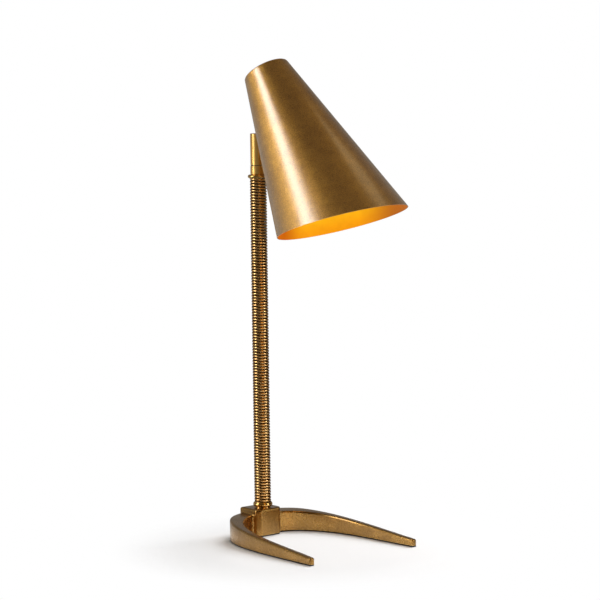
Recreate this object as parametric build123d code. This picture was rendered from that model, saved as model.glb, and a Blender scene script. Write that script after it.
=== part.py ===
from build123d import *
import os
from math import cos, radians, sin, tan

os.makedirs("parts", exist_ok=True)

# Desk lamp on a horseshoe foot: a coil-wrapped stem, a head tube that swivels on it, and a conical shade
# that tilts on a pin through the head tube.  Millimetres and degrees.  +X points between the horseshoe's
# arms, +Z is up, and the origin is on the stem's axis at the level the felt pad rests on.

# ---------------------------------------------------------------- driving dimensions
FIT = 0.05                  # clearance of a located or running fit
SEAT = 0.02                 # clearance between faces that are clamped together

FELT_THICKNESS = 1.5
FELT_INSET = 0.8            # how far the felt's edge stays inside the casting

BACK_X = -19.3              # back of the horseshoe
INNER_BACK_X = 2.5          # inner wall of the horseshoe, behind the hub
TIP_X = 179.7               # ends of the arms
TIP_OUTER_Y = 80.0
TIP_INNER_Y = 73.1
OUTER_PULL = (86.6, (86.2, 75.0))       # how full the outer curve is beside the hub, and its last handle
INNER_PULL = (83.0, (115.2, 66.7))
BACK_TOP = 25.25            # height of the horseshoe beside the hub
TIP_TOP = 8.6               # height of the arms at their tips
CREST_RADIUS = 220.0        # where the level back runs into the sloping arms
EDGE_ROUND = 2.2            # along the top edges of the arms
TIP_ROUND = 2.6
HUB_BLEND = 2.0             # inside corners between the hub and the arms

HUB_FRONT = 14.5
HUB_BACK = 19.3
HUB_HALF_WIDTH = 18.4
HUB_TOP = 32.0
HUB_CHAMFER = 4.9
HUB_EDGE_ROUND = 2.4
HUB_FRONT_ROUND = 3.0       # upright edges each side of the front chamfers

RECESS_HALF = 12.5          # square pocket under the hub
RECESS_TOP = 17.0
INLET_HEIGHT = 7.2          # the cord's way in, through the back of the hub
INLET_RADIUS = 4.5
INLET_BORE_RADIUS = 3.2
INLET_FLANGE_RADIUS = 6.6
GROUND_X = 9.4
GROUND_Y = 9.4
GROUND_LENGTH = 7.0

STEM_RADIUS = 6.05
STEM_BORE_RADIUS = 4.5
STEM_FOOT = 11.0            # the tube's lower end, flush with its nut
WASHER_SHEET = 1.0
WIRE_RADIUS = 1.63
COIL_RADIUS = 8.17          # stem axis to the middle of the wire
COIL_TURNS = 115
RING_SINK = 3.3             # the coil's ends are let into the rings this far
LOWER_RING_TOP = 39.0
LOWER_RING_RADIUS = 11.4
UPPER_RING_BOTTOM = 418.2
UPPER_RING_TOP = 422.6
UPPER_RING_RADIUS = 12.1

SEAM_HEIGHT = 433.0         # the head turns above this level
WASHER_THICKNESS = 0.6
FERRULE_RADIUS = 8.95
HEAD_RADIUS = 8.75
HEAD_BORE_RADIUS = 7.2
HEAD_TOP = 470.0
BUSH_LENGTH = 8.2
NUT_THICKNESS = 3.0

HEAD_TURN = 8.6             # the head as it stands, turned from straight ahead
SHADE_TILT = 32.2           # the shade's axis as it stands, measured from the vertical
TILT_LIMIT = 20.0           # tilt each way from there
PIVOT_HEIGHT = 457.0
PIN_RADIUS = 2.0
PIN_HEAD_RADIUS = 3.6
SPACER_RADIUS = 3.4
CAP_PLUG = 3.0

SHADE_TOP_RADIUS = 26.9
SHADE_HALF_ANGLE = 13.1
SHADE_LENGTH = 203.7        # along the axis, from the closed top to the mouth
MOUTH_SLANT = 15.4          # the mouth is cut this much out of square, longer at the front
SHADE_WALL = 1.0
SHADE_TOP_ROUND = 2.2
SHADE_TOP_REACH = 14.4      # the middle of the shade's top, ahead of the stem's axis
SHADE_TOP_HEIGHT = 542.4

ARM_HALF_WIDTH = 3.7        # folded channel that carries the shade
ARM_SHEET = 1.2
ARM_ABOVE = 4.5             # channel's top and bottom, measured from the pivot
ARM_BELOW = 8.5
ARM_NOSE_RADIUS = 5.2       # rounded end around the pin
BRACKET_SHEET = 1.5
FOOT_DEPTH = 73.0           # middle of the arm's foot, along the shade's axis
FOOT_HALF_LENGTH = 11.0
FOOT_HALF_WIDTH = 13.5
STRAP_HALF_WIDTH = 8.0      # strap that carries the lampholder
SHELF_DEPTH = 20.0          # the shelf that the lampholder hangs from
SHELF_END_RADIUS = 11.0

LEAD_RADIUS = 2.1
LEAD_DROP = 5.6             # the lead runs this far under the pivot
LEAD_BEND = 8.0
LEAD_JOIN = 9.4             # from the pin's axis to where the head's lead ends
LEAD_GAP = 0.4
LEAD_LANE = 9.5             # from the shade's outer surface to the lead inside it
LEAD_CREST_DEPTH = 6.8      # top of the lead's loop over the shelf
NIPPLE_RADIUS = 5.0
NIPPLE_TOP_DEPTH = 15.0
SOCKET_RADIUS = 17.0
SOCKET_FLOOR_DEPTH = 38.0
SOCKET_MOUTH_DEPTH = 66.0
THREAD_PITCH = 3.6          # rolled thread of a medium screw lampholder
THREAD_DEPTH = 0.5
LAMP_CAP_RADIUS = 13.1
BULB_NECK_RADIUS = 12.2
BULB_RADIUS = 30.0
BULB_CENTRE_DEPTH = 122.0
BULB_GLASS = 0.8
SCREW_RADIUS = 1.5
SCREW_HEAD_RADIUS = 2.8

# ---------------------------------------------------------------- places worked out from them
HEAD = Rot(0, 0, HEAD_TURN)
SHADE = HEAD * Pos(SHADE_TOP_REACH, 0, SHADE_TOP_HEIGHT) * Rot(0, -SHADE_TILT, 0)
WASHER_TOP = SEAM_HEIGHT + WASHER_THICKNESS
HEAD_BOTTOM = WASHER_TOP + FIT
BUSH_TOP = HEAD_BOTTOM + BUSH_LENGTH
NUT_BOTTOM = BUSH_TOP + FIT
STEM_TOP = NUT_BOTTOM + NUT_THICKNESS
LEAD_HEIGHT = PIVOT_HEIGHT - LEAD_DROP
TILT = radians(TILT_LIMIT)
HALF_ANGLE = radians(SHADE_HALF_ANGLE)
SLOPE = tan(HALF_ANGLE)
IN_SHADE = SHADE.inverse() * HEAD            # from the head's frame to the shade's own
FOOT_INSET = SHADE_WALL + SEAT               # layers against the shade's wall, from outside in
STRAP_INSET = FOOT_INSET + BRACKET_SHEET + SEAT
NUT_INSET = STRAP_INSET + BRACKET_SHEET + 0.15
SCREW_AZIMUTH = 12.5                         # the two screws stand each side of the arm


def save(shape, node):
    export_step(shape, f"parts/{node}.step")


def together(frame, pieces):
    """Separate solids of one node, all placed by the same frame."""
    return Compound(children=[frame * piece for piece in pieces])


def turned(points, closed=True):
    """A solid of revolution about Z from (radius, height) points."""
    outline = Polyline(*[(radius, 0, height) for radius, height in points], close=closed)
    return revolve(make_face(outline), Axis.Z, 360)


def tube(outer, inner, low, high):
    body = Pos(0, 0, low) * Cylinder(outer, high - low, align=(Align.CENTER, Align.CENTER, Align.MIN))
    if inner:
        body -= Pos(0, 0, low) * Cylinder(inner, high - low, align=(Align.CENTER, Align.CENTER, Align.MIN))
    return body


def hexagon_nut(across_flats, bore, low, high):
    blank = Pos(0, 0, low) * extrude(RegularPolygon(across_flats / 2, 6, major_radius=False), high - low)
    return blank - tube(bore, 0, low - 1, high + 1)


def bead(radius, bore, low, high):
    """A ring with a full round outside between two levels, on a small foot."""
    half = (high - low) / 2
    middle = radius - half
    profile = Polyline((bore, 0, high), (bore, 0, low), (middle, 0, low))
    nose = ThreePointArc((middle, 0, low), (radius, 0, low + half), (middle, 0, high))
    top = Line((middle, 0, high), (bore, 0, high))
    return revolve(make_face(profile + nose + top), Axis.Z, 360)


# ---------------------------------------------------------------- horseshoe base
def horseshoe_face(inset=0.0):
    """Plan of the horseshoe: one curve outside and one inside each arm, joined at the blunt tips."""
    outer_pull, outer_handle = OUTER_PULL
    inner_pull, inner_handle = INNER_PULL
    tip_x = TIP_X - inset
    edges = []
    for side in (1, -1):
        outer_tip = (tip_x, side * (TIP_OUTER_Y - inset))
        inner_tip = (tip_x, side * (TIP_INNER_Y + inset))
        outer_end = (outer_handle[0], side * (outer_handle[1] - inset))
        inner_end = (inner_handle[0], side * (inner_handle[1] + inset))
        outer_start = (BACK_X + inset, side * (outer_pull - inset))
        inner_start = (INNER_BACK_X - inset, side * (inner_pull + inset))
        edges.append(Bezier((BACK_X + inset, 0), outer_start, outer_end, outer_tip))
        edges.append(Line(outer_tip, inner_tip))
        edges.append(Bezier(inner_tip, inner_end, inner_start, (INNER_BACK_X - inset, 0)))
    return make_face(Wire(edges))


def hub_face(inset=0.0):
    length = HUB_FRONT + HUB_BACK - 2 * inset
    outline = Pos((HUB_FRONT - HUB_BACK) / 2, 0) * Rectangle(length, 2 * (HUB_HALF_WIDTH - inset))
    outline = chamfer(outline.vertices().group_by(Axis.X)[-1], HUB_CHAMFER)
    columns = outline.vertices().group_by(Axis.X)
    return fillet(columns[-1] + columns[-2], HUB_FRONT_ROUND)


def is_upright(edge):
    start, end = edge @ 0, edge @ 1
    return abs(start.X - end.X) + abs(start.Y - end.Y) < 0.01


def is_inside_corner(edge):
    """The upright edges where the arms leave the sides of the hub."""
    middle = edge @ 0.5
    beside_hub = abs(abs(middle.Y) - HUB_HALF_WIDTH) < 0.05 and 0 < middle.X < INNER_BACK_X + 4
    return is_upright(edge) and beside_hub


def base_casting():
    slope_end_x = TIP_X + 20
    slope_end_top = BACK_TOP - (BACK_TOP - TIP_TOP) * slope_end_x / TIP_X
    behind_x = BACK_X - 10
    crest = FilletPolyline(
        (behind_x, 0, BACK_TOP),
        (0, 0, BACK_TOP),
        (slope_end_x, 0, slope_end_top),
        radius=CREST_RADIUS,
    )
    sides = Polyline(
        (slope_end_x, 0, slope_end_top),
        (slope_end_x, 0, FELT_THICKNESS),
        (behind_x, 0, FELT_THICKNESS),
        (behind_x, 0, BACK_TOP),
    )
    side_view = extrude(make_face(crest + sides), 2 * TIP_OUTER_Y, both=True)
    arms = extrude(horseshoe_face(), BACK_TOP + 10) & side_view
    arms = fillet([e for e in arms.edges() if is_upright(e) and (e @ 0.5).X > TIP_X - 1], TIP_ROUND)
    high_edges = [e for e in arms.edges() if (e @ 0.5).Z > TIP_TOP - 0.7 and not is_upright(e)]
    rim = [e for e in high_edges if e.geom_type != GeomType.LINE or (e @ 0.5).X > TIP_X - 1]
    arms = fillet(rim, EDGE_ROUND)

    hub = Pos(0, 0, FELT_THICKNESS) * extrude(hub_face(), HUB_TOP - FELT_THICKNESS)
    hub = fillet(hub.faces().sort_by(Axis.Z)[-1].edges(), HUB_EDGE_ROUND)

    recess_size = 2 * RECESS_HALF
    recess = Box(recess_size, recess_size, 2 * RECESS_TOP)
    stem_hole = tube(STEM_RADIUS + FIT, 0, 0, HUB_TOP + 1)
    inlet = Pos(-HUB_BACK, 0, INLET_HEIGHT) * Rot(0, 90, 0) * Cylinder(INLET_RADIUS + FIT, 20)
    ground_hole = Pos(GROUND_X, GROUND_Y, 0) * tube(SCREW_RADIUS, 0, 0, RECESS_TOP + GROUND_LENGTH)
    casting = arms + hub - recess - stem_hole - inlet - ground_hole
    return fillet([e for e in casting.edges() if is_inside_corner(e)], HUB_BLEND)


def felt_pad():
    thickness = FELT_THICKNESS - SEAT
    return extrude(horseshoe_face(FELT_INSET), thickness) + extrude(hub_face(FELT_INSET), thickness)


def stem_washer():
    return tube(10.0, STEM_RADIUS + FIT, RECESS_TOP - WASHER_SHEET, RECESS_TOP)


def stem_nut():
    top = RECESS_TOP - WASHER_SHEET - SEAT
    return hexagon_nut(17.0, STEM_RADIUS, STEM_FOOT, top)


def cord_bushing():
    """Flanged bushing that lines the cord's way into the back of the hub."""
    wall_end = HUB_BACK - RECESS_HALF
    bushing = turned(
        [
            (INLET_BORE_RADIUS, -2.0),
            (INLET_FLANGE_RADIUS - 0.8, -2.0),
            (INLET_FLANGE_RADIUS, -1.2),
            (INLET_FLANGE_RADIUS, 0),
            (INLET_RADIUS, 0),
            (INLET_RADIUS, wall_end),
            (INLET_BORE_RADIUS, wall_end),
        ]
    )
    return Pos(-HUB_BACK, 0, INLET_HEIGHT) * Rot(0, 90, 0) * bushing


def ground_screw():
    shank = tube(SCREW_RADIUS, 0, RECESS_TOP, RECESS_TOP + GROUND_LENGTH)
    head = tube(2.8, 0, RECESS_TOP - 2.2, RECESS_TOP)
    slot = Pos(0, 0, RECESS_TOP - 2.2) * Box(8, 0.8, 1.6)
    return Pos(GROUND_X, GROUND_Y, 0) * (shank + head - slot)


# ---------------------------------------------------------------- stem
def stem_tube():
    return tube(STEM_RADIUS, STEM_BORE_RADIUS, STEM_FOOT, STEM_TOP)


def coil_seat(low, high):
    """The room a ring leaves for one end of the coil."""
    return tube(COIL_RADIUS + WIRE_RADIUS + 0.1, 0, low, high)


def lower_ring():
    ring = bead(LOWER_RING_RADIUS, STEM_RADIUS + FIT, HUB_TOP + 0.9, LOWER_RING_TOP)
    foot = tube(LOWER_RING_RADIUS - 2.3, STEM_RADIUS + FIT, HUB_TOP, HUB_TOP + 1.5)
    return ring + foot - coil_seat(LOWER_RING_TOP - RING_SINK, LOWER_RING_TOP + 1)


def upper_ring():
    ring = bead(UPPER_RING_RADIUS, STEM_RADIUS + FIT, UPPER_RING_BOTTOM, UPPER_RING_TOP)
    return ring - coil_seat(UPPER_RING_BOTTOM - 1, UPPER_RING_BOTTOM + RING_SINK)


def spring_coil():
    """Close-wound left-hand helix between the two rings, one edge of its path to a turn."""
    low = LOWER_RING_TOP - RING_SINK + WIRE_RADIUS + 0.05
    high = UPPER_RING_BOTTOM + RING_SINK - WIRE_RADIUS - 0.05
    pitch = (high - low) / COIL_TURNS
    turns = [
        Helix(pitch, pitch, COIL_RADIUS, center=(0, 0, low + i * pitch), lefthand=True)
        for i in range(COIL_TURNS)
    ]
    path = Wire(turns)
    section = Plane(origin=path @ 0, z_dir=path % 0) * Circle(WIRE_RADIUS)
    return sweep(section, path=path, is_frenet=True)


def ferrule():
    outline = [
        (STEM_RADIUS, UPPER_RING_TOP),
        (FERRULE_RADIUS - 0.3, UPPER_RING_TOP),
        (FERRULE_RADIUS, UPPER_RING_TOP + 1.2),
        (FERRULE_RADIUS, SEAM_HEIGHT - 0.4),
        (FERRULE_RADIUS - 0.4, SEAM_HEIGHT),
        (STEM_RADIUS, SEAM_HEIGHT),
    ]
    return turned(outline)


def swivel_washer():
    return tube(HEAD_RADIUS - 0.5, STEM_RADIUS + FIT, SEAM_HEIGHT, WASHER_TOP)


def swivel_nut():
    """Round lock nut on the stem's threaded end, with two flats for a pin spanner."""
    nut = tube(HEAD_BORE_RADIUS - 0.3, STEM_RADIUS, NUT_BOTTOM, STEM_TOP)
    for side in (1, -1):
        nut -= Pos(side * HEAD_BORE_RADIUS, 0, STEM_TOP) * Box(1.6, 3.0, 2 * NUT_THICKNESS - 2)
    return nut


# ---------------------------------------------------------------- head
def head_tube():
    body = tube(HEAD_RADIUS, HEAD_BORE_RADIUS, HEAD_BOTTOM, HEAD_TOP)
    top_edges = body.edges().filter_by(GeomType.CIRCLE).group_by(Axis.Z)[-1]
    body = chamfer(top_edges.sort_by(SortBy.RADIUS)[-1], 0.4)
    slot_half = ARM_HALF_WIDTH + 0.3
    low = PIVOT_HEIGHT - ARM_BELOW / cos(TILT) - HEAD_RADIUS * tan(TILT) - 0.6
    high = PIVOT_HEIGHT + ARM_ABOVE / cos(TILT) + HEAD_RADIUS * tan(TILT) + 0.6
    slot = Pos(HEAD_RADIUS, 0, (low + high) / 2) * Box(2 * HEAD_RADIUS, 2 * slot_half, high - low)
    drill = tube(PIN_RADIUS + FIT / 2, 0, -HEAD_RADIUS + 0.8, 20)
    pin_hole = Pos(0, 0, PIVOT_HEIGHT) * Rot(-90, 0, 0) * drill
    return HEAD * (body - slot - pin_hole)


def head_cap():
    plug = tube(HEAD_BORE_RADIUS - SEAT, 0, HEAD_TOP - CAP_PLUG, HEAD_TOP - 0.25)
    return HEAD * plug


def swivel_bush():
    return HEAD * tube(HEAD_BORE_RADIUS - SEAT, STEM_RADIUS + FIT, HEAD_BOTTOM, BUSH_TOP)


def pivot_screw():
    """Cross pin with a slotted head on the far side; its other end is tapped blind into the tube."""
    shank = tube(PIN_RADIUS, 0, -HEAD_RADIUS + 0.9, HEAD_RADIUS + 0.2)
    head = tube(PIN_HEAD_RADIUS, 0, HEAD_RADIUS + 0.2, HEAD_RADIUS + 2.2)
    head = fillet(head.edges().filter_by(GeomType.CIRCLE).group_by(Axis.Z)[-1], 0.7)
    slot = Pos(0, 0, HEAD_RADIUS + 2.2) * Box(12, 0.9, 1.6)
    screw = shank + head - slot
    return HEAD * Pos(0, 0, PIVOT_HEIGHT) * Rot(-90, 0, 0) * screw


def pivot_spacers():
    """A spring washer and spacer in one on each side of the channel, inside the head tube's bore."""
    inner = ARM_HALF_WIDTH + FIT
    outer = (HEAD_BORE_RADIUS**2 - SPACER_RADIUS**2) ** 0.5 - 0.1
    pin = Pos(0, 0, PIVOT_HEIGHT) * Rot(-90, 0, 0)
    near = tube(SPACER_RADIUS, PIN_RADIUS + FIT, inner, outer)
    far = tube(SPACER_RADIUS, PIN_RADIUS + FIT, -outer, -inner)
    return together(HEAD, [pin * near, pin * far])


# ---------------------------------------------------------------- shade, drawn with its axis along -Z
def wall_radius(depth, inset=0.0):
    return SHADE_TOP_RADIUS + depth * SLOPE - inset / cos(HALF_ANGLE)


def cone(inset, depth=1.5 * SHADE_LENGTH):
    """Solid frustum that lies this far inside the shade's outer surface."""
    top_radius = wall_radius(inset, inset)
    low_radius = wall_radius(depth, inset)
    return turned([(0, -inset), (top_radius, -inset), (low_radius, -depth), (0, -depth)])


def layer(inset, thickness):
    return cone(inset) - cone(inset + thickness)


def back_patch(half_width, low_depth, high_depth):
    """Block that takes in the back of the shade's wall between two depths."""
    middle = (low_depth + high_depth) / 2
    return Pos(-SHADE_LENGTH / 2, 0, -middle) * Box(SHADE_LENGTH, 2 * half_width, high_depth - low_depth)


def on_wall(azimuth, depth):
    """Frame on the shade's outer surface, its Z outward; azimuth is measured from the back."""
    turn = Rot(0, 0, 180 + azimuth)
    return turn * Pos(wall_radius(depth), 0, -depth) * Rot(0, 90 - SHADE_HALF_ANGLE, 0)


def screw_places():
    return [on_wall(side * SCREW_AZIMUTH, FOOT_DEPTH) for side in (1, -1)]


def screw_holes():
    drill = tube(SCREW_RADIUS + 0.1, 0, -10, 10)
    return [place * drill for place in screw_places()]


def arm_block(margin, start, end):
    """The channel's outer section between two distances ahead of the pivot, in the shade's frame."""
    height = ARM_ABOVE + ARM_BELOW + 2 * margin
    middle = PIVOT_HEIGHT + (ARM_ABOVE - ARM_BELOW) / 2
    block = Box(end - start, 2 * (ARM_HALF_WIDTH + margin), height)
    return IN_SHADE * Pos((start + end) / 2, 0, middle) * block


def shade_shell():
    outside = cone(0)
    top_edge = outside.edges().filter_by(GeomType.CIRCLE).sort_by(Axis.Z)[-1]
    outside = fillet(top_edge, SHADE_TOP_ROUND)
    inside = cone(SHADE_WALL)
    top_edge = inside.edges().filter_by(GeomType.CIRCLE).sort_by(Axis.Z)[-1]
    inside = fillet(top_edge, SHADE_TOP_ROUND - SHADE_WALL)
    slant = radians(MOUTH_SLANT)
    mouth = Plane(origin=(0, 0, -SHADE_LENGTH), z_dir=(-sin(slant), 0, -cos(slant)))
    below_mouth = extrude(mouth * Rectangle(6 * SHADE_LENGTH, 6 * SHADE_LENGTH), 2 * SHADE_LENGTH)
    shell = outside - inside - below_mouth - arm_block(0.3, 5, 30)
    for hole in screw_holes():
        shell -= hole
    return SHADE * shell


def tilt_arm():
    """Folded channel: its cheeks take the pin, and its foot lies inside the shade's wall."""
    pin = Pos(0, 0, PIVOT_HEIGHT) * Rot(90, 0, 0)
    nose = pin * Cylinder(ARM_NOSE_RADIUS, 2 * ARM_HALF_WIDTH)
    outline = Polyline(
        (0, 0, PIVOT_HEIGHT + ARM_ABOVE),
        (30, 0, PIVOT_HEIGHT + ARM_ABOVE),
        (30, 0, PIVOT_HEIGHT - ARM_BELOW),
        (1, 0, PIVOT_HEIGHT - ARM_BELOW),
        (-3.4, 0, PIVOT_HEIGHT - 3.9),
        close=True,
    )
    beam = extrude(make_face(outline), ARM_HALF_WIDTH, both=True)
    passage_top = PIVOT_HEIGHT + ARM_ABOVE - ARM_SHEET
    passage_half = ARM_HALF_WIDTH - ARM_SHEET
    passage = Pos(15, 0, passage_top - 10) * Box(50, 2 * passage_half, 20)
    pin_hole = pin * Cylinder(PIN_RADIUS + FIT, 20)
    foot = layer(FOOT_INSET, BRACKET_SHEET)
    foot &= back_patch(FOOT_HALF_WIDTH, FOOT_DEPTH - FOOT_HALF_LENGTH, FOOT_DEPTH + FOOT_HALF_LENGTH)
    channel = IN_SHADE * (nose + beam) - cone(FOOT_INSET + BRACKET_SHEET)
    arm = channel + foot - IN_SHADE * passage - IN_SHADE * pin_hole
    for hole in screw_holes():
        arm -= hole
    return SHADE * arm


def pivot_bush():
    length = 2 * (ARM_HALF_WIDTH - ARM_SHEET) - 2 * FIT
    bush = Rot(90, 0, 0) * tube(3.0, PIN_RADIUS + FIT, -length / 2, length / 2)
    return HEAD * Pos(0, 0, PIVOT_HEIGHT) * bush


def lane_offset(depth):
    """How far behind the shade's axis the lead runs at a depth."""
    return wall_radius(depth, LEAD_LANE)


def socket_bracket():
    """Strap against the wall, wide at its foot, with a shelf across the shade's axis."""
    strap = layer(STRAP_INSET, BRACKET_SHEET)
    narrow = back_patch(STRAP_HALF_WIDTH, SHELF_DEPTH, FOOT_DEPTH)
    wide = back_patch(FOOT_HALF_WIDTH, FOOT_DEPTH - FOOT_HALF_LENGTH, FOOT_DEPTH + FOOT_HALF_LENGTH)
    shelf = Pos(-20, 0) * Rectangle(40, 2 * STRAP_HALF_WIDTH) + Circle(SHELF_END_RADIUS)
    shelf = Pos(0, 0, -SHELF_DEPTH - BRACKET_SHEET) * extrude(shelf, BRACKET_SHEET)
    bracket = (strap & (narrow + wide)) + (shelf & cone(STRAP_INSET))
    bracket -= arm_block(0.3, 5, 45)
    bracket -= tube(NIPPLE_RADIUS + FIT, 0, -SHELF_DEPTH - 5, -SHELF_DEPTH + 5)
    lead_hole = tube(LEAD_RADIUS + 0.9, 0, -SHELF_DEPTH - 5, -SHELF_DEPTH + 5)
    bracket -= Pos(-lane_offset(SHELF_DEPTH), 0, 0) * lead_hole
    for hole in screw_holes():
        bracket -= hole
    return SHADE * bracket


def bracket_screws():
    shank = tube(SCREW_RADIUS, 0, -NUT_INSET - 3.0, 0.1)
    head = tube(SCREW_HEAD_RADIUS, 0, 0.1, 1.9)
    head = fillet(head.edges().filter_by(GeomType.CIRCLE).group_by(Axis.Z)[-1], 0.9)
    slot = Pos(0, 0, 1.9) * Box(8, 0.8, 1.5)
    screw = shank + head - slot
    return together(SHADE, [place * screw for place in screw_places()])


def bracket_nuts():
    nut = hexagon_nut(5.5, SCREW_RADIUS, -NUT_INSET - 2.4, -NUT_INSET)
    return together(SHADE, [place * nut for place in screw_places()])


# ---------------------------------------------------------------- lampholder and bulb
def socket_nipple():
    low = -SHELF_DEPTH - BRACKET_SHEET - 5.6
    return SHADE * tube(NIPPLE_RADIUS, NIPPLE_RADIUS - 1.5, low, -NIPPLE_TOP_DEPTH)


def nipple_nuts():
    over_shelf = hexagon_nut(14.0, NIPPLE_RADIUS, -SHELF_DEPTH + SEAT, -SHELF_DEPTH + 3.0)
    cap_top = -SHELF_DEPTH - BRACKET_SHEET - SEAT
    in_cap = hexagon_nut(14.0, NIPPLE_RADIUS, cap_top - 1.5 - 3.0, cap_top - 1.5 - SEAT)
    return together(SHADE, [over_shelf, in_cap])


def socket_cap():
    top = -SHELF_DEPTH - BRACKET_SHEET - SEAT
    skirt = -SOCKET_FLOOR_DEPTH + 1.0
    bore = NIPPLE_RADIUS + FIT
    cup = turned(
        [
            (bore, top),
            (11.5, top),
            (SOCKET_RADIUS, top - 6.0),
            (SOCKET_RADIUS, skirt),
            (SOCKET_RADIUS - 1.5, skirt),
            (SOCKET_RADIUS - 1.5, top - 6.6),
            (10.9, top - 1.5),
            (bore, top - 1.5),
        ]
    )
    return SHADE * cup


def socket_body():
    """Insulating body with a floor for the contact and a round well for the screw shell."""
    skirt = -SOCKET_FLOOR_DEPTH + 1.0 - SEAT
    spigot = SOCKET_RADIUS - 1.5 - FIT
    well = LAMP_CAP_RADIUS + 1.7
    body = turned(
        [
            (0, -SOCKET_FLOOR_DEPTH + 6.0),
            (spigot, -SOCKET_FLOOR_DEPTH + 6.0),
            (spigot, skirt),
            (SOCKET_RADIUS, skirt),
            (SOCKET_RADIUS, -SOCKET_MOUTH_DEPTH),
            (well, -SOCKET_MOUTH_DEPTH),
            (well, -SOCKET_FLOOR_DEPTH),
            (0, -SOCKET_FLOOR_DEPTH),
        ]
    )
    return SHADE * body


def rolled_shell(radius, sheet, top, bottom):
    """Thin sleeve with a rolled thread, drawn as rings of the thread's pitch."""
    rings = int((top - bottom) / THREAD_PITCH)
    crests = []
    for ring in range(rings):
        height = top - ring * THREAD_PITCH
        crests.append((radius - THREAD_DEPTH, height - 0.3 * THREAD_PITCH))
        crests.append((radius, height - 0.8 * THREAD_PITCH))
    outer = [(radius, top)] + crests + [(radius, bottom)]
    inner = [(r - sheet, z) for r, z in reversed(outer)]
    return turned(outer + inner)


def socket_shell():
    top = -SOCKET_FLOOR_DEPTH - 2.0
    return SHADE * rolled_shell(LAMP_CAP_RADIUS + 1.5, 0.5, top, -SOCKET_MOUTH_DEPTH + 2.0)


def socket_contact():
    """Springy centre tongue, folded up from a rivet on the lampholder's floor."""
    floor = -SOCKET_FLOOR_DEPTH - SEAT
    leaf = Pos(1.5, 0, floor - 0.3) * Box(11, 5, 0.6)
    rise = Pos(-3.7, 0, floor - 0.9) * Box(0.6, 5, 1.8)
    tip = Pos(-0.5, 0, floor - 1.8) * Box(7, 5, 0.6)
    return SHADE * (leaf + rise + tip)


def bulb_contact():
    top = -SOCKET_FLOOR_DEPTH - 2.2
    return SHADE * turned([(0, top), (3.2, top), (4.6, top - 1.4), (4.6, top - 2.2), (0, top - 2.2)])


def bulb_insulator():
    top = -SOCKET_FLOOR_DEPTH - 4.4 - SEAT
    return SHADE * turned([(0, top), (5.4, top), (11.2, top - 3.0), (11.2, top - 4.0), (0, top - 4.0)])


def bulb_cap():
    top = -SOCKET_FLOOR_DEPTH - 8.4 - 2 * SEAT
    return SHADE * rolled_shell(LAMP_CAP_RADIUS, 0.4, top, -SOCKET_MOUTH_DEPTH - 4.0)


def bulb_outline(shrink):
    """Half of the bulb's section: straight neck, flared shoulder and round end."""
    neck = BULB_NECK_RADIUS - shrink
    radius = BULB_RADIUS - shrink
    neck_end = -SOCKET_MOUTH_DEPTH + 3.0
    shoulder_top = -SOCKET_MOUTH_DEPTH - 5.0
    angle = radians(35)
    low_angle = radians(-20)
    meet = (radius * cos(angle), 0, -BULB_CENTRE_DEPTH + radius * sin(angle))
    below = (radius * cos(low_angle), 0, -BULB_CENTRE_DEPTH + radius * sin(low_angle))
    handle = (meet[0] - 14 * sin(angle), 0, meet[2] + 14 * cos(angle))
    wall = Line((neck, 0, neck_end), (neck, 0, shoulder_top))
    shoulder = Bezier((neck, 0, shoulder_top), (neck, 0, shoulder_top - 14), handle, meet)
    tip = (0, 0, -BULB_CENTRE_DEPTH - radius)
    crown = ThreePointArc(meet, below, tip)
    closing = Polyline(tip, (0, 0, neck_end), (neck, 0, neck_end))
    return revolve(make_face(wall + shoulder + crown + closing), Axis.Z, 360)


def bulb_glass():
    return SHADE * (bulb_outline(0) - bulb_outline(BULB_GLASS) - tube(BULB_NECK_RADIUS - 3, 0, -70, -60))


def bulb_stem():
    """Glass mount inside the neck."""
    root = -SOCKET_MOUTH_DEPTH + 2.0
    return SHADE * turned([(0, root), (8.0, root), (4.2, root - 8), (3.4, root - 22), (0, root - 24)])


def bulb_filaments():
    rod = tube(0.9, 0, -BULB_CENTRE_DEPTH, -BULB_CENTRE_DEPTH + 30)
    places = [Rot(0, 0, 90 * i) * Pos(6, 0, 0) for i in range(4)]
    return together(SHADE, [place * rod for place in places])


# ---------------------------------------------------------------- leads held inside
def lead_along(points, radii):
    path = FilletPolyline(*points, radius=radii) if radii else Line(*points)
    section = Plane(origin=path @ 0, z_dir=path % 0) * Circle(LEAD_RADIUS)
    return sweep(section, path=path)


def stem_lead():
    """From inside the inlet bushing, across the recess and up the stem to the swivel."""
    points = [(-RECESS_HALF + 0.5, 0, INLET_HEIGHT), (0, 0, INLET_HEIGHT), (0, 0, BUSH_TOP - 4)]
    return lead_along(points, 6.0)


def round_the_pin(radius):
    return Pos(0, 0, PIVOT_HEIGHT) * Rot(90, 0, 0) * Cylinder(radius, 20)


def head_lead():
    """Carries on from the swivel and turns forward under the pin, as far as a round about the pin."""
    points = [(0, 0, BUSH_TOP - 3.8), (0, 0, LEAD_HEIGHT), (HEAD_RADIUS, 0, LEAD_HEIGHT)]
    ahead = Pos(10.6, 0, PIVOT_HEIGHT) * Box(10, 20, 20)
    return HEAD * (lead_along(points, 5.6) - (ahead - round_the_pin(LEAD_JOIN)))


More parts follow.
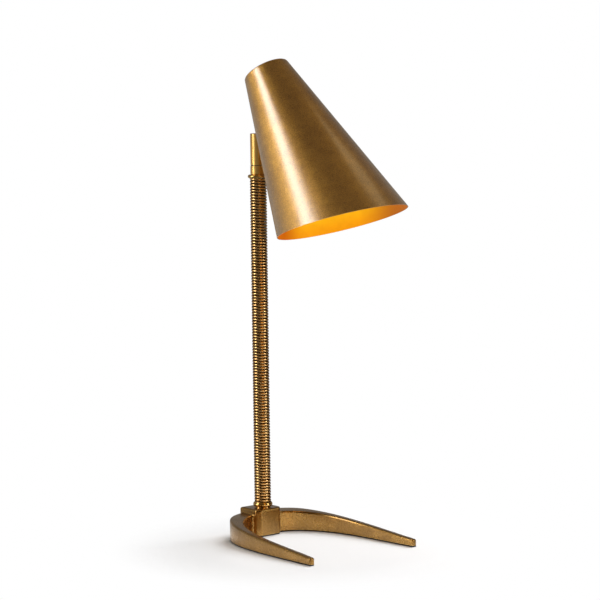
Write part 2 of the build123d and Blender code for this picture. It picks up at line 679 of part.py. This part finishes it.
def shade_lead():
    """Along the channel, up inside the shade's back, over the shelf and down the nipple."""
    start = IN_SHADE * Pos(4, 0, LEAD_HEIGHT)
    ahead = IN_SHADE * Pos(5, 0, LEAD_HEIGHT)
    run = ahead.position - start.position
    # the level run meets the lane, which is parallel to the back of the wall
    gap = wall_radius(-start.position.Z, LEAD_LANE) + start.position.X
    steps = gap / (SLOPE * run.Z - run.X)
    corner = start.position + run * steps
    points = [
        tuple(start.position),
        tuple(corner),
        (-lane_offset(LEAD_CREST_DEPTH), 0, -LEAD_CREST_DEPTH),
        (0, 0, -LEAD_CREST_DEPTH),
        (0, 0, -SHELF_DEPTH - 6),
    ]
    return SHADE * (lead_along(points, LEAD_BEND) - IN_SHADE * round_the_pin(LEAD_JOIN + LEAD_GAP))


PARTS = {
    "base_casting": base_casting,
    "felt_pad": felt_pad,
    "stem_washer": stem_washer,
    "stem_nut": stem_nut,
    "cord_bushing": cord_bushing,
    "ground_screw": ground_screw,
    "stem_tube": stem_tube,
    "lower_ring": lower_ring,
    "spring_coil": spring_coil,
    "upper_ring": upper_ring,
    "ferrule": ferrule,
    "swivel_washer": swivel_washer,
    "swivel_nut": swivel_nut,
    "stem_lead": stem_lead,
    "head_tube": head_tube,
    "head_cap": head_cap,
    "swivel_bush": swivel_bush,
    "pivot_screw": pivot_screw,
    "pivot_spacers": pivot_spacers,
    "head_lead": head_lead,
    "tilt_arm": tilt_arm,
    "pivot_bush": pivot_bush,
    "shade": shade_shell,
    "socket_bracket": socket_bracket,
    "bracket_screws": bracket_screws,
    "bracket_nuts": bracket_nuts,
    "socket_nipple": socket_nipple,
    "nipple_nuts": nipple_nuts,
    "socket_cap": socket_cap,
    "socket_body": socket_body,
    "socket_shell": socket_shell,
    "socket_contact": socket_contact,
    "bulb_glass": bulb_glass,
    "bulb_cap": bulb_cap,
    "bulb_insulator": bulb_insulator,
    "bulb_contact": bulb_contact,
    "bulb_stem": bulb_stem,
    "bulb_filaments": bulb_filaments,
    "shade_lead": shade_lead,
}

for node, build in PARTS.items():
    save(build(), node)
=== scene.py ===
import bpy
from math import cos, pi, radians, sin, tan
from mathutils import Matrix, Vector

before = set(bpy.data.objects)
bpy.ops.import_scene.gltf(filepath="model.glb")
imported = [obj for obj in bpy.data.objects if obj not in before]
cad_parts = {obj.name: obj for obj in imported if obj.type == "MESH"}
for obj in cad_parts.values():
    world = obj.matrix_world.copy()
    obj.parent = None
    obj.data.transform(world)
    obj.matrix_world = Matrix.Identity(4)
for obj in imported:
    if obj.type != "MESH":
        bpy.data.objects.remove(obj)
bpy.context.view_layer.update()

# Metres and the frame's own axes: +X towards the foot's tips, +Z up, origin under the stem. Azimuths
# are in degrees from +X towards +Y.

FILM_WIDTH_MM = 36
LENS_MM = 149.87
CAMERA_AT = (2.24797, -1.82488, 0.56808)
CAMERA_TURN_DEG = (84.2324, 0.7210, 49.9344)
CAMERA_REACH = 50

# the shade at rest, as in part.py
HEAD_TURN = radians(8.6)
SHADE_TILT = radians(32.2)
HALF_ANGLE = radians(13.1)
MOUTH_SLANT = radians(15.4)
SHADE_LENGTH = 0.2037
SHADE_TOP_RADIUS = 0.0269
SHADE_WALL = 0.001
TOP_AHEAD, TOP_HEIGHT = 0.0144, 0.5424

# painted shade: the coil is painted dark below the first of these distances from the stem's axis and left
# bright above the second
GROOVE_FLOOR, GROOVE_TOP = 0.0091, 0.0098

FLOOR_HALF_SIZE = 12.0
FLOOR_HEIGHT = -0.0002          # just under the felt
FLOOR_CENTRE = (0.09, 0, 0)     # middle of the foot
BACK_AZIMUTH = 160              # the brighter half of the room, behind the lamp
PHOTO_RIGHT_AZIMUTH = 51

scene = bpy.context.scene


def heading(azimuth):
    a = radians(azimuth)
    return Vector((cos(a), sin(a), 0.0))


def up(height):
    return Vector((0, 0, height))


HEAD_AHEAD = Vector((cos(HEAD_TURN), sin(HEAD_TURN), 0))
SHADE_TOP = HEAD_AHEAD * TOP_AHEAD + up(TOP_HEIGHT)
SHADE_AXIS = HEAD_AHEAD * sin(SHADE_TILT) - up(cos(SHADE_TILT))
SHADE_FRONT = HEAD_AHEAD * cos(SHADE_TILT) + up(sin(SHADE_TILT))
MOUTH_OUT = SHADE_AXIS * cos(MOUTH_SLANT) - SHADE_FRONT * sin(MOUTH_SLANT)


# ---------------------------------------------------------------- camera, where the photograph was taken from
def add_camera():
    data = bpy.data.cameras.new("camera")
    data.sensor_width = FILM_WIDTH_MM
    data.lens = LENS_MM
    data.clip_end = CAMERA_REACH
    camera = bpy.data.objects.new("camera", data)
    camera.location = CAMERA_AT
    camera.rotation_euler = [radians(v) for v in CAMERA_TURN_DEG]
    scene.collection.objects.link(camera)
    scene.camera = camera


add_camera()
scene.view_settings.view_transform = "Standard"


# ---------------------------------------------------------------- node helpers
class Tree:
    """Short names for the nodes of one material or world."""

    def __init__(self, tree):
        self.tree = tree
        self.tree.nodes.clear()

    def put(self, node, key, value):
        """Links a socket or sets a constant; an underscore in a name stands for a space."""
        socket = node.inputs[key if isinstance(key, int) else key.replace("_", " ")]
        if isinstance(value, bpy.types.NodeSocket):
            self.tree.links.new(value, socket)
        else:
            socket.default_value = value

    def fill(self, node, values):
        for i, v in enumerate(values):
            self.put(node, i, v)

    def node(self, kind, **inputs):
        n = self.tree.nodes.new(kind)
        for key, value in inputs.items():
            self.put(n, key, value)
        return n

    def math(self, operation, a, b=0.0, c=0.0):
        n = self.node("ShaderNodeMath")
        n.operation = operation
        self.fill(n, (a, b, c))
        return n.outputs[0]

    def total(self, *terms):
        """The sum of (value, weight) pairs."""
        parts = [self.math("MULTIPLY", value, weight) for value, weight in terms]
        result = parts[0]
        for part in parts[1:]:
            result = self.math("ADD", result, part)
        return result

    def vmath(self, operation, a, b=None, scale=None):
        n = self.node("ShaderNodeVectorMath")
        n.operation = operation
        self.put(n, 0, a)
        if b is not None:
            self.put(n, 1, b)
        if scale is not None:
            self.put(n, "Scale", scale)
        return n.outputs["Value"] if operation in ("DOT_PRODUCT", "LENGTH") else n.outputs[0]

    def place(self, scale=None):
        at = self.node("ShaderNodeTexCoord").outputs["Object"]
        if scale is None:
            return at
        return self.node("ShaderNodeMapping", Vector=at, Scale=scale).outputs[0]

    def noise(self, scale, detail=4.0, rough=0.55, at=None, distortion=0.0):
        n = self.node("ShaderNodeTexNoise", Vector=at or self.place(), Scale=scale, Detail=detail,
                      Roughness=rough, Distortion=distortion)
        return n.outputs["Fac"]

    def span(self, value, lo, hi, to_lo=0.0, to_hi=1.0, smooth=False):
        n = self.node("ShaderNodeMapRange")
        n.interpolation_type = "SMOOTHSTEP" if smooth else "LINEAR"
        self.fill(n, (value, lo, hi, to_lo, to_hi))
        return n.outputs[0]

    def blotches(self, scale):
        return self.span(self.noise(scale, 5, 0.6, distortion=0.4), 0.35, 0.65)

    def specks(self, scale):
        return self.span(self.noise(scale, 3, 0.7), 0.38, 0.62)

    def mottle(self, scale):
        return self.span(self.noise(scale, 4, 0.6), 0.3, 0.7)

    def mix(self, factor, a, b):
        n = self.node("ShaderNodeMix")
        n.data_type = "RGBA"
        self.put(n, 0, factor)
        for i, colour in ((6, a), (7, b)):
            self.put(n, i, (*colour, 1) if isinstance(colour, tuple) else colour)
        return n.outputs[2]

    def bump(self, height, distance):
        return self.node("ShaderNodeBump", Strength=1.0, Distance=distance, Height=height).outputs[0]

    def edges(self, radius=0.0012):
        """1 on sharp or rounded edges and 0 on flat faces, from the bevelled normal."""
        bevel = self.node("ShaderNodeBevel", Radius=radius)
        bevel.samples = 4
        normal = self.node("ShaderNodeNewGeometry").outputs["Normal"]
        return self.span(self.vmath("DOT_PRODUCT", bevel.outputs[0], normal), 0.995, 0.90, 0, 1)

    def principled(self, **inputs):
        return self.node("ShaderNodeBsdfPrincipled", **inputs)

    def blend(self, factor, a, b):
        n = self.node("ShaderNodeMixShader")
        self.fill(n, (factor, a, b))
        return n.outputs[0]

    def out(self, shader, kind="ShaderNodeOutputMaterial"):
        self.node(kind, Surface=shader)


def material(name):
    m = bpy.data.materials.new(name)
    m.use_nodes = True
    return m, Tree(m.node_tree)


def rgb(r, g, b):
    """A colour given as it is seen on screen, 0 to 255."""
    return tuple(((v / 255 + 0.055) / 1.055) ** 2.4 if v > 10 else v / 255 / 12.92 for v in (r, g, b))


# ---------------------------------------------------------------- finishes
def metal(name, light, dark, rough, blotch, speck, vary=0.08, speck_share=0.5, grain=0.00002,
          brushed=None, edge=None, coat=None):
    """Worn metal: blotches, fine specks, uneven gloss, optional brushing and bright worn edges.

    The brushing is a scale along each axis, the coat is a weight and a roughness."""
    m, t = material(name)
    blotches = t.blotches(blotch)
    specks = t.specks(speck)
    colour = t.mix(t.total((blotches, 1 - speck_share), (specks, speck_share)), dark, light)
    height = specks
    gloss = t.math("SUBTRACT", rough + vary / 2, t.total((blotches, vary * 0.6), (specks, vary * 0.4)))
    if brushed:
        streaks = t.noise(1.0, 3, 0.6, at=t.place(brushed))
        height = t.math("ADD", t.math("MULTIPLY", streaks, 1.5), specks)
        colour = t.mix(t.span(streaks, 0.35, 0.65, 0.0, 0.22), colour, dark)
        gloss = t.math("ADD", gloss, t.span(streaks, 0.35, 0.65, -0.03, 0.05))
    if edge:
        worn = t.math("MULTIPLY", t.edges(), t.span(t.noise(220, 4, 0.6), 0.35, 0.6))
        colour = t.mix(worn, colour, edge)
        gloss = t.math("SUBTRACT", gloss, t.math("MULTIPLY", worn, 0.12))
    p = t.principled(Base_Color=colour, Metallic=1.0, Roughness=gloss, Normal=t.bump(height, grain))
    if coat:
        weight, coat_rough = coat
        t.put(p, "Coat Weight", weight)
        t.put(p, "Coat Roughness", coat_rough)
        t.put(p, "Coat IOR", 1.7)
    t.out(p.outputs[0])
    return m


def coil_finish():
    """Polished wire, with painted shade darkening the grooves between the turns."""
    m, t = material("polished_wire")
    x, y = t.node("ShaderNodeSeparateXYZ", Vector=t.place()).outputs[:2]
    reach = t.math("SQRT", t.math("ADD", t.math("MULTIPLY", x, x), t.math("MULTIPLY", y, y)))
    groove_shade = t.span(reach, GROOVE_FLOOR, GROOVE_TOP, 1, 0, smooth=True)
    blotches = t.blotches(70)
    specks = t.specks(1100)
    colour = t.mix(blotches, (0.88, 0.45, 0.08), (0.98, 0.56, 0.13))
    colour = t.mix(t.math("MULTIPLY", specks, 0.1), colour, (0.4, 0.18, 0.03))
    # painted shade: the grooves between the turns are darkened to near black
    colour = t.mix(groove_shade, colour, (0.024, 0.006, 0.001))
    gloss = t.math("ADD", t.span(blotches, 0, 1, 0.25, 0.21), t.math("MULTIPLY", groove_shade, 0.3))
    p = t.principled(Base_Color=colour, Metallic=1.0, Roughness=gloss, Normal=t.bump(specks, 0.000001),
                     Specular_Tint=(0.12, 0.04, 0.01, 1), Coat_Weight=t.math("SUBTRACT", 1.0, groove_shade),
                     Coat_Roughness=0.24, Coat_IOR=2.0)
    t.out(p.outputs[0])
    return m


def plastic(name, colour, rough, vary=0.12, grain=0.00003, scale=700):
    """A moulded or painted surface: two sizes of mottling, uneven gloss."""
    m, t = material(name)
    lighter = tuple(min(1, v * 1.5 + 0.01) for v in colour)
    darker = tuple(v * 0.6 for v in colour)
    mottle = t.mottle(scale)
    tint = t.mix(t.math("MULTIPLY", t.mottle(60), 0.5), colour, lighter)
    tint = t.mix(t.math("MULTIPLY", mottle, 0.4), tint, darker)
    gloss = t.span(mottle, 0, 1, rough - vary / 2, rough + vary / 2)
    t.out(t.principled(Base_Color=tint, Roughness=gloss, Normal=t.bump(mottle, grain)).outputs[0])
    return m


def shade_finish():
    """Antique brass outside, with a painted warm glow inside.

    The two sides are told apart by their depth under the cone's outer surface, so it holds at any pose."""
    m, t = material("shade_antique_brass")
    here = t.vmath("SUBTRACT", t.place(), tuple(SHADE_TOP))
    depth = t.vmath("DOT_PRODUCT", here, tuple(SHADE_AXIS))
    along = t.vmath("SCALE", tuple(SHADE_AXIS), scale=depth)
    radius = t.vmath("LENGTH", t.vmath("SUBTRACT", here, along))
    wall = t.math("MULTIPLY_ADD", depth, tan(HALF_ANGLE), SHADE_TOP_RADIUS)
    inset = t.math("MULTIPLY", t.math("SUBTRACT", wall, radius), cos(HALF_ANGLE))
    past_middle = SHADE_WALL * 0.62
    inside = t.math("MULTIPLY", t.math("GREATER_THAN", inset, past_middle),
                    t.math("GREATER_THAN", depth, past_middle))

    clouds = t.span(t.noise(16, 6, 0.62, distortion=0.5), 0.34, 0.66)
    patches = t.span(t.noise(85, 5, 0.65), 0.36, 0.64)
    specks = t.span(t.noise(850, 5, 0.85), 0.40, 0.59)
    tone = t.total((clouds, 0.26), (patches, 0.20), (specks, 0.54))
    colour = t.mix(tone, (0.31, 0.143, 0.017), (0.84, 0.455, 0.078))
    gloss = t.math("SUBTRACT", 0.53, t.math("MULTIPLY", tone, 0.15))
    worn = t.math("MULTIPLY", t.edges(0.0008), 0.7)
    colour = t.mix(worn, colour, rgb(236, 196, 130))
    outer = t.principled(Base_Color=colour, Metallic=1.0, Roughness=gloss, Normal=t.bump(specks, 0.00006),
                         Coat_Weight=1.0, Coat_Roughness=0.24, Coat_IOR=2.15)

    # painted light: the bulb's light on the paint is drawn as the paint's own glow, palest past the rim,
    # redder towards both sides of the mouth
    paint_mix = t.span(t.noise(300, 4, 0.6), 0.35, 0.65)
    paint = t.mix(paint_mix, (0.05, 0.022, 0.003), (0.04, 0.015, 0.002))
    mouth = SHADE_LENGTH * cos(MOUTH_SLANT)
    within = t.math("SUBTRACT", mouth, t.vmath("DOT_PRODUCT", here, tuple(MOUTH_OUT)))
    across = t.vmath("DOT_PRODUCT", here, tuple(heading(PHOTO_RIGHT_AZIMUTH)))
    glow = t.mix(t.span(within, 0.001, 0.022, smooth=True), (0.96, 0.345, 0.003), (1.0, 0.49, 0.007))
    glow = t.mix(t.span(across, 0.100, 0.152, smooth=True), glow, (0.42, 0.11, 0.010))
    glow = t.mix(t.span(across, 0.044, 0.016, smooth=True), glow, (0.55, 0.10, 0.001))
    glow = t.mix(t.math("MULTIPLY", patches, 0.22), glow, (0.66, 0.20, 0.004))
    inner = t.principled(Base_Color=paint, Roughness=0.55, Normal=t.bump(patches, 0.00003),
                         Specular_IOR_Level=0.2, Emission_Color=glow, Emission_Strength=1.0)
    t.out(t.blend(inside, outer.outputs[0], inner.outputs[0]))
    return m


def lit_glass():
    m, t = material("bulb_frosted")
    glow = t.mix(t.mottle(90), (1, 0.62, 0.26), (1, 0.72, 0.36))
    frost = t.bump(t.noise(1500, 3), 0.00001)
    p = t.principled(Base_Color=(1, 0.93, 0.8, 1), Roughness=0.5, Normal=frost, Emission_Color=glow,
                     Emission_Strength=5.0)
    t.out(p.outputs[0])
    return m


def felt_finish():
    m, t = material("felt_dark")
    fibres = t.noise(1.0, 6, 0.8, at=t.place((2600, 2600, 2600)), distortion=2.0)
    colour = t.mix(t.span(fibres, 0.3, 0.7), (0.006, 0.005, 0.004), (0.035, 0.03, 0.026))
    p = t.principled(Base_Color=colour, Roughness=0.95, Normal=t.bump(fibres, 0.0004), Sheen_Weight=0.4)
    t.out(p.outputs[0])
    return m


WORN_BRASS = (0.92, 0.66, 0.28)
casting = metal("cast_antique_brass", light=(0.54, 0.29, 0.055), dark=(0.25, 0.122, 0.017), rough=0.29,
                vary=0.10, blotch=40, speck=600, grain=0.00003, edge=(0.95, 0.62, 0.22), coat=(0.5, 0.25))
ring = metal("ring_brass", light=(0.80, 0.50, 0.13), dark=(0.50, 0.26, 0.05), rough=0.2, vary=0.1,
             blotch=90, speck=1000, grain=0.00001, speck_share=0.3, coat=(0.5, 0.15))
tube_brass = metal("brushed_brass", light=(0.82, 0.50, 0.10), dark=(0.62, 0.33, 0.045), rough=0.36,
                   vary=0.06, blotch=60, speck=1200, grain=0.000001, brushed=(40, 40, 2500),
                   edge=WORN_BRASS, coat=(0.8, 0.3))
turned_brass = metal("turned_brass", light=(0.70, 0.43, 0.12), dark=(0.36, 0.18, 0.04), rough=0.28,
                     blotch=120, speck=1400, edge=WORN_BRASS)
folded_brass = metal("folded_brass", light=(0.52, 0.30, 0.09), dark=(0.25, 0.12, 0.03), rough=0.4,
                     blotch=70, speck=800, brushed=(2200, 60, 60), edge=(0.80, 0.52, 0.20))
steel = metal("zinc_steel", light=rgb(188, 188, 184), dark=rgb(130, 132, 134), rough=0.36, vary=0.16,
              blotch=110, speck=900, edge=rgb(225, 225, 222))
tube_steel = metal("drawn_steel", light=rgb(170, 166, 158), dark=rgb(112, 108, 100), rough=0.32,
                   vary=0.14, blotch=60, speck=900, brushed=(2600, 2600, 50))
aluminium = metal("rolled_aluminium", light=rgb(206, 206, 202), dark=rgb(160, 160, 158), rough=0.3,
                  vary=0.12, blotch=100, speck=1000)
green_brass = metal("green_lacquer_brass", light=rgb(104, 150, 84), dark=rgb(64, 104, 52), rough=0.34,
                    blotch=140, speck=900, edge=rgb(196, 176, 110))
black_plastic = plastic("black_moulding", (0.012, 0.012, 0.012), rough=0.42)
brown_resin = plastic("brown_resin", (0.05, 0.022, 0.012), rough=0.3, scale=400)
nylon = plastic("nylon", (0.62, 0.58, 0.48), rough=0.5)
lead_sleeve = plastic("lead_sleeve", (0.04, 0.022, 0.012), rough=0.55, scale=1800, grain=0.0001)
slip_washer = plastic("slip_washer", (0.02, 0.016, 0.012), rough=0.6)
mount_glass = plastic("mount_glass", (0.75, 0.74, 0.7), rough=0.12, vary=0.05)
filament = plastic("filament_rods", (1.0, 0.6, 0.2), rough=0.5)

MATERIALS = {
    # stand
    "base_casting": casting,
    "felt_pad": felt_finish(),
    "stem_washer": steel,
    "stem_nut": steel,
    "cord_bushing": black_plastic,
    "ground_screw": green_brass,
    "stem_tube": tube_steel,
    "lower_ring": ring,
    "spring_coil": coil_finish(),
    "upper_ring": ring,
    "ferrule": tube_brass,
    "swivel_washer": slip_washer,
    "swivel_nut": steel,
    "stem_lead": lead_sleeve,
    # head
    "head_tube": tube_brass,
    "head_cap": tube_brass,
    "swivel_bush": turned_brass,
    "pivot_screw": turned_brass,
    "pivot_spacers": nylon,
    "head_lead": lead_sleeve,
    # shade
    "tilt_arm": folded_brass,
    "pivot_bush": turned_brass,
    "shade": shade_finish(),
    "socket_bracket": steel,
    "bracket_screws": turned_brass,
    "bracket_nuts": steel,
    "socket_nipple": steel,
    "nipple_nuts": steel,
    "socket_cap": turned_brass,
    "socket_body": brown_resin,
    "socket_shell": turned_brass,
    "socket_contact": turned_brass,
    "bulb_glass": lit_glass(),
    "bulb_cap": aluminium,
    "bulb_insulator": black_plastic,
    "bulb_contact": steel,
    "bulb_stem": mount_glass,
    "bulb_filaments": filament,
    "shade_lead": lead_sleeve,
}
for name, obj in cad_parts.items():
    obj.data.materials.clear()
    obj.data.materials.append(MATERIALS[name])


# ---------------------------------------------------------------- floor
def floor_finish():
    """White paper that takes shadows near the foot and is plain white further out.

    Reflections in the brass see a dimmer floor: dark ahead of the lamp, lighter behind it."""
    m, t = material("floor_white")
    paper = t.mix(t.span(t.noise(3, 4), 0.3, 0.7), (0.875, 0.90, 0.93), (0.885, 0.91, 0.94))
    near = t.principled(Base_Color=paper, Roughness=0.8, Specular_IOR_Level=0.0)
    from_foot = t.vmath("SUBTRACT", t.place(), FLOOR_CENTRE)
    away = t.vmath("LENGTH", from_foot)
    backward = t.vmath("DOT_PRODUCT", t.vmath("NORMALIZE", from_foot), tuple(heading(BACK_AZIMUTH)))
    ahead = t.span(away, 0.5, 1.6, 0.04, 0.30, smooth=True)
    mirrored = t.span(backward, 0.0, 0.8, ahead, 0.36, smooth=True)
    rays = t.node("ShaderNodeLightPath").outputs
    gloomy = t.node("ShaderNodeEmission", Strength=mirrored)
    far = t.node("ShaderNodeEmission", Strength=t.math("MAXIMUM", rays["Is Camera Ray"], mirrored))
    seen = t.blend(t.span(away, 0.125, 0.24, smooth=True), near.outputs[0], far.outputs[0])
    dimmed = t.math("MULTIPLY", rays["Is Glossy Ray"], t.span(away, 0.1, 0.22, smooth=True))
    t.out(t.blend(dimmed, seen, gloomy.outputs[0]))
    return m


def add_floor():
    r, z = FLOOR_HALF_SIZE, FLOOR_HEIGHT
    mesh = bpy.data.meshes.new("floor")
    mesh.from_pydata([(-r, -r, z), (r, -r, z), (r, r, z), (-r, r, z)], [], [(0, 1, 2, 3)])
    mesh.materials.append(floor_finish())
    floor = bpy.data.objects.new("floor", mesh)
    scene.collection.objects.link(floor)


add_floor()


# ---------------------------------------------------------------- lights
def area(name, azimuth, elevation, distance, size, radiance, colour=(1, 1, 1), target=(0.03, 0, 0.3),
         gloss=True, diffuse=True):
    """A soft box in that direction from the target, facing it."""
    e = radians(elevation)
    way = heading(azimuth) * cos(e) + up(sin(e))
    data = bpy.data.lights.new(name, "AREA")
    data.shape = "RECTANGLE"
    data.size, data.size_y = size
    data.energy = radiance * pi * size[0] * size[1]
    data.color = colour
    obj = bpy.data.objects.new(name, data)
    obj.location = Vector(target) + way * distance
    obj.rotation_euler = way.to_track_quat("Z", "Y").to_euler()
    obj.visible_glossy = gloss
    obj.visible_diffuse = diffuse
    scene.collection.objects.link(obj)


# highlights on the brass
area("key_soft_box", azimuth=-115, elevation=21, distance=2.0, size=(0.5, 1.9), radiance=6.5,
     diffuse=False)
area("right_soft_box", azimuth=30, elevation=19, distance=2.0, size=(0.3, 1.5), radiance=6.5,
     diffuse=False)
area("low_soft_box", azimuth=-99, elevation=3, distance=2.0, size=(0.35, 0.5), radiance=1.4,
     diffuse=False)
area("warm_soft_box", azimuth=-15, elevation=0, distance=2.0, size=(0.9, 0.6), radiance=1.7,
     colour=(1, 0.55, 0.12), diffuse=False)
area("back_soft_box", azimuth=77, elevation=56, distance=0.45, size=(0.16, 0.16), radiance=0.7,
     colour=(1, 0.8, 0.45), target=(0.175, 0.014, 0.419), diffuse=False)
# light and shadow on the floor
area("top_soft_box", azimuth=40, elevation=75, distance=2.6, size=(3.0, 3.0), radiance=2.15,
     gloss=False)
area("side_soft_box", azimuth=100, elevation=40, distance=2.2, size=(1.6, 1.6), radiance=5.4,
     gloss=False)


# ---------------------------------------------------------------- surroundings
def add_world():
    """White to the eye; a dark warm room ahead and a lighter one behind in reflections."""
    world = bpy.data.worlds.new("studio")
    world.use_nodes = True
    t = Tree(world.node_tree)
    way = t.node("ShaderNodeTexCoord").outputs["Generated"]
    height = t.node("ShaderNodeSeparateXYZ", Vector=way).outputs["Z"]
    behind = t.vmath("DOT_PRODUCT", way, tuple(heading(BACK_AZIMUTH)))
    ahead = t.span(height, 0.0, 0.16, 0.30, 0.06, smooth=True)
    low = t.span(behind, 0.0, 0.8, ahead, 0.33, smooth=True)
    walls = t.math("MULTIPLY", low, t.span(height, 0.0, 0.8, 1, 0.3))
    ceiling = t.span(height, 0.3, 0.9, 0.0, 0.11)
    tint = t.mix(t.span(behind, 0.0, 0.8), (1, 0.72, 0.42), (1, 0.99, 0.96))
    room = t.node("ShaderNodeBackground", Color=tint, Strength=t.math("ADD", walls, ceiling))
    white = t.node("ShaderNodeBackground", Color=(1, 1, 1, 1))
    seen = t.node("ShaderNodeLightPath").outputs["Is Camera Ray"]
    t.out(t.blend(seen, room.outputs[0], white.outputs[0]), "ShaderNodeOutputWorld")
    scene.world = world


add_world()
